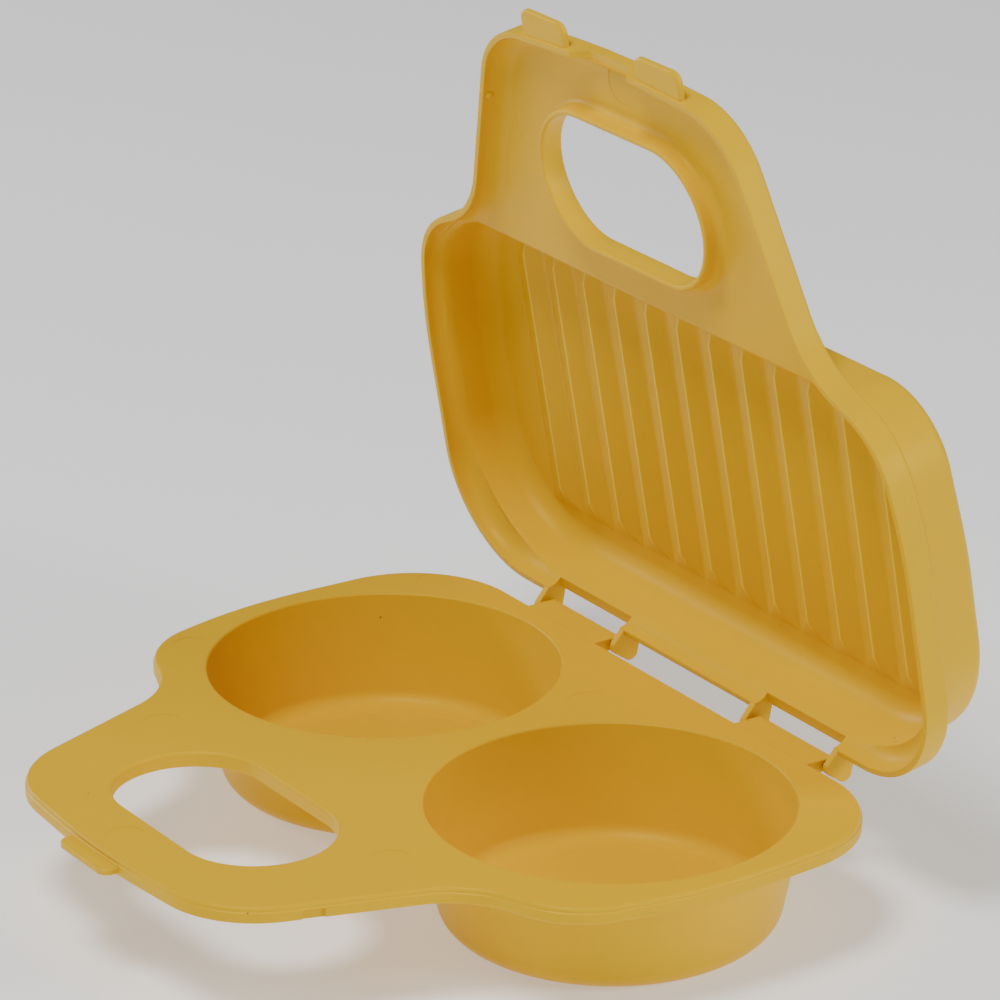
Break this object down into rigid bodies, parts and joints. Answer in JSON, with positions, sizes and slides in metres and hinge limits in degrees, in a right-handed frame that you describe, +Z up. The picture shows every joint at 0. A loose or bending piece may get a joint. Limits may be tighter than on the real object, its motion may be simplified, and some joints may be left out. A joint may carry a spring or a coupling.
{
  "type": "egg cooker",
  "caption": "Two-cup egg tray with a flat carrying handle and a ribbed, hinged lid with finger tabs, standing open.",
  "frame": {"origin": "on the surface that the two cups stand on, under the middle of the open cooker's box", "axes": "+X along the hinge to the right, +Y from the handle at the front to the hinge at the back, +Z up"},
  "size_m": [0.2052, 0.199, 0.2063],
  "materials": {
    "yellow_plastic": "satin injection-moulded polypropylene, lightly speckled"
  },
  "bodies": {
    "tray": {"base_tray": "yellow_plastic"},
    "cover": {"lid": "yellow_plastic"}
  },
  "joints": [
    {"name": "lid_hinge", "type": "hinge", "parent": "tray", "child": "cover", "pos_m": [0, 0.07867, 0.0294], "axis": [-1, 0, 0], "range_deg": [-80, 100]}
  ]
}
